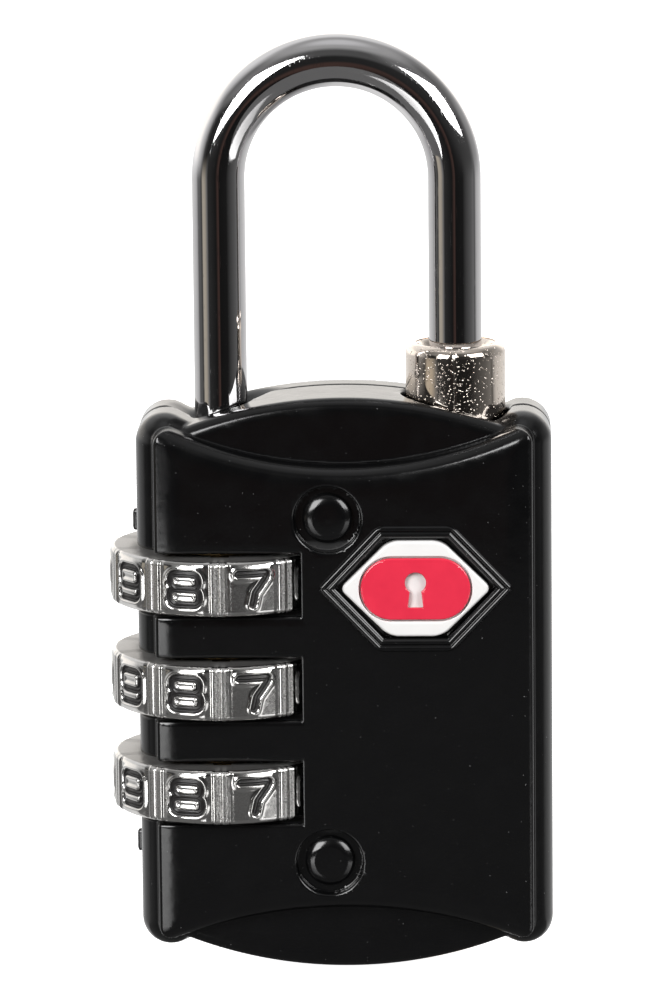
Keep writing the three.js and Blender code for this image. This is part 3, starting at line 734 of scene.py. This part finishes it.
def collar(material):
    outer, top, bottom, bore = COLLAR.outer, COLLAR.top, COLLAR.bottom, COLLAR.bore
    foot, shoulder, centre = COLLAR.foot, COLLAR.shoulder, COLLAR.centre
    wall = [(outer, z) for z in np.linspace(bottom + foot, top - shoulder, 14)]
    profile = [(bore, bottom), *fillet(outer - foot, bottom + foot, foot, -90, 0, 4), *wall[1:-1],
               *fillet(outer - shoulder, top - shoulder, shoulder, 0, 90, 9),
               *[(bore + out, top - down) for out, down in COLLAR_MOUTH],
               (bore, COLLAR.toe_floor), (centre, COLLAR.toe_floor),
               (centre, COLLAR.partition), (bore, COLLAR.partition)]
    points, faces = lathed(profile, COLLAR_COLUMNS, parting)
    points[:, 0] += LOCK_X
    piece = mesh_object("collar_look", points, faces, sharp=math.radians(50))
    settle(piece, material, "collar", "nickel_plate", "collar")


def rivet_head():
    """The head's profile from its foot to its middle, as (radius, height) points."""
    head, height, bow = RIVET.head, RIVET.height, RIVET.bow
    start, end = RIVET_SHOULDER
    shoulder = fillet(head - bow * math.cos(math.radians(start)), height - bow, bow, start, end, 10)
    return [(head, 0.0), (head, shoulder[0][1] - RIVET.collar), *shoulder, (RIVET.flat, height),
            (RIVET.centre, height + RIVET.crown)]


def rivet(name, centre, material):
    """A rivet with a head at each end. It is turned about a front-to-back axis."""
    shank = RIVET.shank
    front = DEPTH.plateau + RIVET.depth - RIVET.sunk
    back = DEPTH.rear_plateau - RIVET.depth + RIVET.sunk
    head = rivet_head()
    profile = [(r, front - h) for r, h in reversed(head)]
    profile += [(shank, front), (shank, back)]
    profile += [(r, back + h) for r, h in head]
    points, faces = lathed(profile, RIVET_COLUMNS)
    swapped = np.stack([points[:, 0] + centre[0], points[:, 2], points[:, 1] + centre[1]], axis=1)
    piece = mesh_object(f"{name}_look", swapped, faces, sharp=math.radians(50))
    settle(piece, material, "case", "black_paint", name)


def settle(piece, material, body, slot, *nodes):
    """Gives a piece its material and its body, and hides the CAD nodes that it stands for. The slot is not
    used.
    """
    if not piece.data.materials:
        piece.data.materials.append(material)
    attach(piece, body)
    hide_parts(*nodes)


# ---- shells and badge ----
def shells(material):
    side = HALF_WIDTH + 2 * SKIN_MARGIN
    top = BODY_TOP + SKIN_MARGIN
    front = skinned(front_shell_field, (-side, DEPTH.plateau - SKIN_MARGIN, -SKIN_MARGIN),
                    (side, TONGUE.back, top), SHELL_STEP, SHELL_MERGING)
    ridges = skinned(hex_ridges_field, *badge_box(HEX.half_width + 0.2, HEX.half_height + 0.2,
                                                  DEPTH.plateau - 0.3, DEPTH.plateau + 0.2),
                     BADGE_STEP, BADGE_MERGING)
    piece = mesh_object("front_shell_look", *joined(front, ridges))
    settle(piece, material, "case", "black_paint", "front_shell")
    rear = skinned(rear_shell_field, (-side - INDEX_RIDGE.out, -SKIN_MARGIN, -SKIN_MARGIN),
                   (side, DEPTH.rear_plateau + SKIN_MARGIN, top), REAR_STEP, SHELL_MERGING)
    piece = mesh_object("rear_shell_look", *rear)
    settle(piece, material, "case", "black_paint", "rear_shell")


def badge_box(half_width, half_height, front, back):
    """Two opposite corners of a box centred on the badge."""
    return ((HEX.x - half_width, front, HEX.z - half_height),
            (HEX.x + half_width, back, HEX.z + half_height))


def badge(white, red):
    box = badge_box(BADGE.half_width, BADGE.half_height, BADGE.front, BADGE.back)
    plate = mesh_object("badge_plate_look", *skinned(badge_plate_field, *box, BADGE_STEP, BADGE_MERGING))
    settle(plate, white, "case", "white_enamel", "badge_plate")
    box = badge_box(SYMBOL.half_length, SYMBOL.radius, SYMBOL.front, SYMBOL.back)
    mark = mesh_object("badge_symbol_look", *skinned(badge_symbol_field, *box, BADGE_STEP, BADGE_MERGING))
    settle(mark, red, "case", "red_enamel", "badge_symbol")


# ---- node helpers ----
class Nodes:
    """Short ways to add and join shader nodes."""

    def __init__(self, tree, shader):
        self.tree = tree
        self.shader = tree.nodes[shader]

    def give(self, name, value):
        """Sets or links one of the shader's inputs."""
        self.feed(self.shader.inputs[name], value)

    def add(self, kind, inputs=None, **settings):
        node = self.tree.nodes.new("ShaderNode" + kind)
        for name, value in settings.items():
            setattr(node, name, value)
        for name, value in (inputs or {}).items():
            self.feed(node.inputs[name], value)
        return node

    def feed(self, socket, value):
        if isinstance(value, bpy.types.NodeSocket):
            self.tree.links.new(value, socket)
        else:
            socket.default_value = value

    def math(self, operation, *values):
        node = self.add("Math", operation=operation)
        for socket, value in zip(node.inputs, values):
            self.feed(socket, value)
        return node.outputs[0]

    def plus(self, a, b):
        return self.math("ADD", a, b)

    def times(self, a, b):
        return self.math("MULTIPLY", a, b)

    def step(self, value, low, high, to_low=0.0, to_high=1.0):
        """A smooth step from to_low, where the value is low, to to_high, where it is high."""
        inputs = {"Value": value, "From Min": low, "From Max": high, "To Min": to_low, "To Max": to_high}
        return self.add("MapRange", inputs, interpolation_type="SMOOTHSTEP").outputs[0]

    def window(self, value, start, full, still, end):
        """One from full to still, and nothing before start or after end."""
        return self.times(self.step(value, start, full), self.step(value, end, still))

    def mix(self, share, a, b):
        node = self.add("Mix", data_type="RGBA")
        for socket, value in zip((node.inputs[0], node.inputs[6], node.inputs[7]), (share, a, b)):
            self.feed(socket, (*value, 1) if isinstance(value, tuple) else value)
        return node.outputs[2]

    def ramp(self, value, stops):
        node = self.add("ValToRGB", inputs={"Fac": value})
        elements = node.color_ramp.elements
        while len(elements) > 1:
            elements.remove(elements[-1])
        for i, (position, colour) in enumerate(stops):
            element = elements[0] if i == 0 else elements.new(position)
            element.position = position
            element.color = (*colour, 1) if isinstance(colour, tuple) else (colour, colour, colour, 1)
        return node.outputs[0]

    def noise(self, where, scale, detail, roughness=0.5):
        """Clouds with about as many spots for each millimetre as the scale says."""
        inputs = {"Vector": where, "Scale": scale, "Detail": detail, "Roughness": roughness}
        return self.add("TexNoise", inputs).outputs[0]

    def stretched(self, where, x, y, z):
        return self.add("VectorMath", {0: where, 1: (x, y, z)}, operation="MULTIPLY").outputs[0]

    def mark(self, name):
        """A value that the mesh carries at each point."""
        return self.add("Attribute", attribute_name=name).outputs["Fac"]

    def bump(self, height, strength, distance):
        """The normal of a surface whose relief is the distance, in metres, for a height of one."""
        inputs = {"Height": height, "Strength": strength, "Distance": distance}
        return self.add("Bump", inputs).outputs[0]


def new_material(name):
    """A material, its nodes, and the place on the object in millimetres."""
    material = bpy.data.materials.new(name)
    material.use_nodes = True
    nodes = Nodes(material.node_tree, "Principled BSDF")
    place = nodes.add("TexCoord").outputs["Object"]
    scaled = nodes.add("VectorMath", {0: place, "Scale": 1 / MM}, operation="SCALE").outputs[0]
    return material, nodes, scaled


# ---- materials ----
COLOURS = {
    "paint": (0.0022, 0.0022, 0.0024), "dust": (0.12, 0.12, 0.12),
    "chrome": (0.6, 0.59, 0.6), "clear chrome": (0.69, 0.68, 0.68),
    "nickel": (0.8, 0.715, 0.635), "nickel pit": (0.4, 0.33, 0.27),
    "plate": (0.54, 0.53, 0.52), "clear plate": (0.66, 0.65, 0.63), "cast plate": (0.42, 0.41, 0.4),
    "ink": (0.012, 0.011, 0.011),
    "white": (0.77, 0.76, 0.75), "deep white": (0.72, 0.71, 0.7),
    "red": (0.72, 0.03, 0.065), "deep red": (0.6, 0.02, 0.05),
    "brass": (0.8, 0.6, 0.3), "tarnished brass": (0.5, 0.33, 0.14),
    # the clutch sleeves' brass is painted dark: painted shade for the narrow gaps between the rings, where
    # the sleeves show
    "shade-painted brass": (0.16, 0.11, 0.05), "dark shade-painted brass": (0.05, 0.035, 0.02),
    "steel": (0.6, 0.6, 0.62), "dark steel": (0.36, 0.36, 0.38),
    "floor": (0.9, 0.9, 0.9), "table": (0.13, 0.13, 0.13),
}
# where the matt paint of the dial slots starts, is full, is still full and ends: across, deep and up
MATT_ROOM = [(-13.4, -13.1, 2.6, 3.0), (-6.3, -6.0, 5.0, 5.3), (10.2, 10.6, 31.6, 32.0)]


def black_paint():
    """Glossy black paint: faint orange peel, uneven gloss and specks of dust, matt in the dial slots."""
    material, n, where = new_material("black_paint_look")
    peel = n.noise(where, 1.6, 2.0)
    fine = n.noise(where, 9.0, 3.0)
    specks = n.step(n.noise(where, 6.5, 0.0), 0.86, 0.88)
    n.give("Base Color", n.mix(specks, COLOURS["paint"], COLOURS["dust"]))
    places = n.add("SeparateXYZ", inputs={0: where}).outputs
    across, deep, up = (n.window(place, *room) for place, room in zip(places, MATT_ROOM))
    inner = n.times(n.times(across, deep), up)
    gloss = n.step(n.noise(where, 0.5, 3.0), 0.3, 0.7, 0.12, 0.18)
    n.give("Roughness", n.plus(gloss, n.times(inner, 0.4)))
    relief = n.plus(n.times(peel, 0.8), n.times(fine, 0.2))
    n.give("Normal", n.bump(relief, 0.12, 0.00006))
    return material


def polished_chrome():
    """Bright chrome with hairline scratches along the bar and faint smears."""
    material, n, where = new_material("polished_chrome_look")
    hair = n.step(n.noise(n.stretched(where, 14.0, 14.0, 0.7), 1.0, 2.0), 0.66, 0.72)
    smear = n.noise(where, 0.35, 4.0, 0.6)
    n.give("Metallic", 1)
    n.give("Base Color", n.mix(smear, COLOURS["chrome"], COLOURS["clear chrome"]))
    gloss = n.step(smear, 0.3, 0.7, 0.03, 0.06)
    n.give("Roughness", n.plus(gloss, n.times(hair, 0.08)))
    n.give("Normal", n.bump(hair, 0.07, 0.00002))
    return material


def nickel_plate():
    """Warm cast nickel: smooth, with patches of small pits and of raised dots."""
    material, n, where = new_material("nickel_plate_look")
    cells = n.add("TexVoronoi", inputs={"Vector": where, "Scale": 3.9}).outputs["Distance"]
    grains = n.step(cells, 0.25, 0.09)
    pits = n.step(n.noise(where, 5.0, 1.0), 0.68, 0.73)
    patches = n.step(n.noise(where, 0.6, 1.0), 0.3, 0.5)
    rough = n.times(patches, n.math("SUBTRACT", grains, pits))
    n.give("Metallic", 1)
    n.give("Base Color", n.mix(pits, COLOURS["nickel"], COLOURS["nickel pit"]))
    n.give("Roughness", n.plus(0.06, n.times(patches, 0.03)))
    relief = n.plus(rough, n.times(n.noise(where, 0.9, 1.0), 0.1))
    n.give("Normal", n.bump(relief, 0.6, 0.00005))
    return material


def dial_plate():
    """Die-cast rings in bright plate. The sunk numbers hold rough black paint."""
    material, n, where = new_material("dial_plate_look")
    rib = n.mark("grain")
    cast = n.mark("cast")
    filled = n.plus(n.mark("ink"), n.times(n.noise(where, 9.0, 2.0), 0.3))
    filled = n.step(filled, 0.6, 0.75)
    grain = n.noise(where, 7.0, 3.0, 0.6)
    wave = n.noise(where, 0.9, 2.0)
    plate = n.mix(cast, n.mix(wave, COLOURS["plate"], COLOURS["clear plate"]), COLOURS["cast plate"])
    n.give("Metallic", n.math("SUBTRACT", 1.0, filled))
    n.give("Base Color", n.mix(filled, plate, COLOURS["ink"]))
    bare = n.step(grain, 0.35, 0.7, 0.1, 0.17)
    uneven = n.plus(n.times(filled, 0.2), n.times(rib, 0.16))
    uneven = n.plus(uneven, n.times(cast, 0.3))
    n.give("Roughness", n.plus(bare, uneven))
    rough_metal = n.times(n.math("MAXIMUM", rib, cast), 0.7)
    coarse = n.plus(0.06, n.math("MAXIMUM", rough_metal, n.times(filled, 0.5)))
    relief = n.plus(n.times(wave, 0.6), n.times(grain, coarse))
    n.give("Normal", n.bump(relief, 0.3, 0.0001))
    return material


def enamel(name, colour, deep):
    """Glossy enamel, with a little unevenness in tone and surface."""
    material, n, where = new_material(name)
    n.give("Base Color", n.mix(n.noise(where, 0.8, 3.0), COLOURS[colour], COLOURS[deep]))
    n.give("Roughness", n.step(n.noise(where, 3.0, 2.0), 0.3, 0.7, 0.12, 0.2))
    n.give("Coat Weight", 0.5)
    n.give("Coat Roughness", 0.05)
    n.give("Normal", n.bump(n.noise(where, 2.0, 2.0), 0.08, 0.00005))
    return material


def worked_metal(name, light, dark, roughness):
    """Turned or stamped metal for the works: fine lines, tarnish and uneven gloss."""
    material, n, where = new_material(name)
    lines = n.noise(n.stretched(where, 1.0, 1.0, 12.0), 1.5, 3.0)
    tarnish = n.step(n.noise(where, 0.7, 4.0, 0.65), 0.35, 0.7)
    n.give("Metallic", 1)
    n.give("Base Color", n.mix(tarnish, COLOURS[light], COLOURS[dark]))
    n.give("Roughness", n.step(lines, 0.3, 0.7, roughness - 0.08, roughness + 0.1))
    n.give("Normal", n.bump(lines, 0.15, 0.00005))
    return material


# ---- pieces that stay as the CAD made them ----
def dress_works(brass, shade_painted_brass, steel):
    """Gives the inner pieces their metals and takes the sharpness off their edges."""
    # the clutch sleeves take the darkened brass, which paints in the shade of the gaps between the rings
    kinds = {"clutch_sleeve": shade_painted_brass, "key_plug": brass, "cylinder_housing": brass,
             "wafer_spring": steel, "wafer": brass}
    for name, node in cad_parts.items():
        if node.hide_render:
            continue
        metal = next((kinds[start] for start in kinds if name.startswith(start)), steel)
        node.data.materials.clear()
        node.data.materials.append(metal)
        bevel = node.modifiers.new("soft edges", "BEVEL")
        bevel.width = 0.06 * MM
        bevel.segments = 2
        bevel.limit_method = "ANGLE"
        bevel.angle_limit = math.radians(35)
        bevel.harden_normals = True


# ---- studio ----
# brightness by bearing, in degrees from straight in front, for four bands of height
SURROUNDINGS = {
    "low": [(-180, 0.8), (-130, 1.0), (-100, 0.6), (-75, 0.22), (-50, 0.42), (-10, 0.22), (25, 0.27),
            (60, 0.5), (90, 0.42), (135, 0.25), (180, 0.75)],
    "below eye": [(-180, 1.0), (-140, 0.8), (-112, 0.62), (-104, 0.45), (-98, 0.14), (-86, 0.13),
                  (-76, 0.05), (-71, (0.55, 0.5, 0.42)), (-60, (0.5, 0.45, 0.37)), (-50, 0.2),
                  (-44, 0.035), (-10, 0.012), (-0.9, (0.07, 0.042, 0.036)), (0.9, (0.07, 0.042, 0.036)),
                  (5, 0.01), (36, 0.013), (50, 0.06), (75, 0.13), (90, 0.2), (97, 0.1), (103, 0.4),
                  (112, 0.62), (140, 0.8), (180, 1.0)],
    "above eye": [(-180, 1.5), (-125, 1.3), (-105, 0.95), (-90, 0.65), (-80, 0.35), (-72, 0.07),
                  (-60, 0.02), (-45, 0.03), (-5, 0.02), (15, 0.03), (60, 0.06), (85, 0.08), (95, 0.16),
                  (105, 0.3), (130, 0.45), (145, 0.65), (160, 0.85), (180, 1.3)],
    "raised": [(-180, 1.0), (-130, 1.0), (-105, 0.67), (-95, 0.4), (-82, 0.18), (-55, 0.25), (-15, 0.1),
               (15, 0.1), (30, 0.2), (70, 0.22), (95, 0.15), (125, 0.28), (145, 0.5), (160, 0.9),
               (180, 1.0)],
}
BELOW_EYE_RISE = (-36.0, -26.0)  # each band fades into the next between two heights above the horizon
ABOVE_EYE_RISE = (-9.0, 3.0)
RAISED_RISE = (18.0, 32.0)
BACKDROP = Sizes(left=(-95.0, -125.0), right=(135.0, 165.0), rise=(-3.0, 6.0), colour=(1.6, 1.54, 1.46))
CEILING = Sizes(rise=(46.0, 66.0), colour=(0.45, 0.45, 0.45))
OVERHEAD = Sizes(rise=(68.0, 84.0), colour=(0.72, 0.72, 0.73))
FLOOR = Sizes(x=(-3.0, 3.0), y=(-3.0, 3.0), z=-0.0004)  # metres
TABLE = Sizes(x=(-0.15, 0.15), y=(-0.165, 0.0), z=-0.0006)  # metres
LIGHT_TARGET = (0, 0, 0.035)  # metres
LIGHTS = {"left_box": Sizes(bearing=-30, rise=22, distance=1.3, size=(0.6, 0.75), watts=17),
          "right_box": Sizes(bearing=52, rise=27, distance=1.3, size=(0.84, 0.65), watts=15)}
CAMERA = Sizes(yaw=1.556, pitch=10.348, roll=-0.558, sensor=36, lens=219.56, x=11.008, y=-435.735,
               z=113.398)  # degrees and millimetres


def studio_world():
    """A white studio seen past a dark camera side, with a soft window at each flank, by direction only."""
    world = bpy.data.worlds.new("studio")
    world.use_nodes = True
    bpy.context.scene.world = world
    n = Nodes(world.node_tree, "Background")
    direction = n.add("TexCoord").outputs["Generated"]
    parts = n.add("SeparateXYZ", inputs={0: direction}).outputs
    bearing = n.math("DEGREES", n.math("ARCTAN2", parts[0], n.times(parts[1], -1.0)))
    rise = n.math("DEGREES", n.math("ARCSINE", parts[2]))
    around = n.math("DIVIDE", n.plus(bearing, 180.0), 360.0)
    low, below_eye, above_eye, raised = (
        n.ramp(around, [((degrees + 180) / 360, value) for degrees, value in stops])
        for stops in SURROUNDINGS.values()
    )
    sides = n.plus(n.step(bearing, *BACKDROP.left), n.step(bearing, *BACKDROP.right))
    behind = n.times(sides, n.step(rise, *BACKDROP.rise))
    colour = n.mix(n.step(rise, *BELOW_EYE_RISE), low, below_eye)
    colour = n.mix(n.step(rise, *ABOVE_EYE_RISE), colour, above_eye)
    colour = n.mix(behind, colour, BACKDROP.colour)
    colour = n.mix(n.step(rise, *RAISED_RISE), colour, raised)
    colour = n.mix(n.step(rise, *CEILING.rise), colour, CEILING.colour)
    colour = n.mix(n.step(rise, *OVERHEAD.rise), colour, OVERHEAD.colour)
    seen = n.add("LightPath").outputs["Is Camera Ray"]
    n.give("Color", n.mix(seen, colour, (1, 1, 1)))
    n.give("Strength", 1.0)


def sheet(name, material_name, place, inputs, hidden_from):
    """A flat rectangle with a plain material, which some kinds of rays don't meet."""
    (left, right), (front, back), height = place.x, place.y, place.z
    points = [(left, front, height), (right, front, height), (right, back, height), (left, back, height)]
    mesh = bpy.data.meshes.new(name)
    mesh.from_pydata(points, [], [[0, 1, 2, 3]])
    material = bpy.data.materials.new(material_name)
    material.use_nodes = True
    shader = Nodes(material.node_tree, "Principled BSDF")
    for socket, value in inputs.items():
        shader.give(socket, value)
    mesh.materials.append(material)
    piece = linked(name, mesh)
    for kind in hidden_from:
        setattr(piece, f"visible_{kind}", False)
    return piece


def studio_floor():
    """A plain white floor just below the lock. Only the camera sees it, so it doesn't light the lock."""
    looks = {"Base Color": (*COLOURS["floor"], 1), "Emission Color": (1, 1, 1, 1), "Emission Strength": 1.0}
    floor = sheet("floor", "white_floor", FLOOR, looks, ("glossy", "diffuse", "shadow"))


def studio_table():
    """The glossy table top. Only reflections see it, and it shows the two soft lights again in its gloss."""
    looks = {"Base Color": (*COLOURS["table"], 1), "Roughness": 0.1, "IOR": 1.6}
    table = sheet("table", "glossy_table", TABLE, looks, ("camera", "diffuse", "shadow"))


def soft_light(name, box):
    """A soft box at a bearing from straight in front and a rise above the horizon, both in degrees."""
    data = bpy.data.lights.new(name, "AREA")
    data.shape = "RECTANGLE"
    data.size, data.size_y = box.size
    data.energy = box.watts
    light = linked(name, data)
    across, up = math.radians(box.bearing), math.radians(box.rise)
    target = Vector(LIGHT_TARGET)
    outward = Vector((math.sin(across) * math.cos(up), -math.cos(across) * math.cos(up), math.sin(up)))
    light.location = target + box.distance * outward
    light.rotation_euler = (-outward).to_track_quat("-Z", "Y").to_euler()
    light.visible_camera = False


def camera():
    """The photographer's place: a long lens, a little above and to the right of the lock."""
    yaw, pitch, roll = math.radians(CAMERA.yaw), math.radians(CAMERA.pitch), math.radians(CAMERA.roll)
    forward = Vector((-math.sin(yaw) * math.cos(pitch), math.cos(yaw) * math.cos(pitch), -math.sin(pitch)))
    level = Vector((math.cos(yaw), math.sin(yaw), 0))
    upward = level.cross(forward)
    right = math.cos(roll) * level + math.sin(roll) * upward
    top = -math.sin(roll) * level + math.cos(roll) * upward
    data = bpy.data.cameras.new("camera")
    data.sensor_width = CAMERA.sensor
    data.lens = CAMERA.lens
    data.clip_start = 0.01
    data.clip_end = 20
    eye = linked("camera", data)
    turn = Matrix((right, top, -forward)).transposed().to_4x4()
    place = Vector((BODY_CENTRE_X + CAMERA.x * MM, CAMERA.y * MM, CAMERA.z * MM))
    eye.matrix_world = Matrix.Translation(place) @ turn
    bpy.context.scene.camera = eye


# ---- the scene ----
def main():
    paint = black_paint()
    shells(paint)
    for name, centre in RIVETS.items():
        rivet(name, centre, paint)
    badge(enamel("white_enamel_look", "white", "deep white"), enamel("red_enamel_look", "red", "deep red"))
    shackle(polished_chrome())
    number_rings(dial_plate())
    collar(nickel_plate())
    # the second metal is brass painted dark, as painted shade for the clutch sleeves seen in the gaps between
    # the rings
    dress_works(worked_metal("brass_look", "brass", "tarnished brass", 0.3),
                worked_metal("shade_painted_brass_look", "shade-painted brass", "dark shade-painted brass", 0.45),
                worked_metal("spring_steel_look", "steel", "dark steel", 0.28))
    studio_world()
    studio_floor()
    studio_table()
    for name, box in LIGHTS.items():
        soft_light(name, box)
    camera()
    bpy.context.scene.view_settings.view_transform = "Standard"


main()
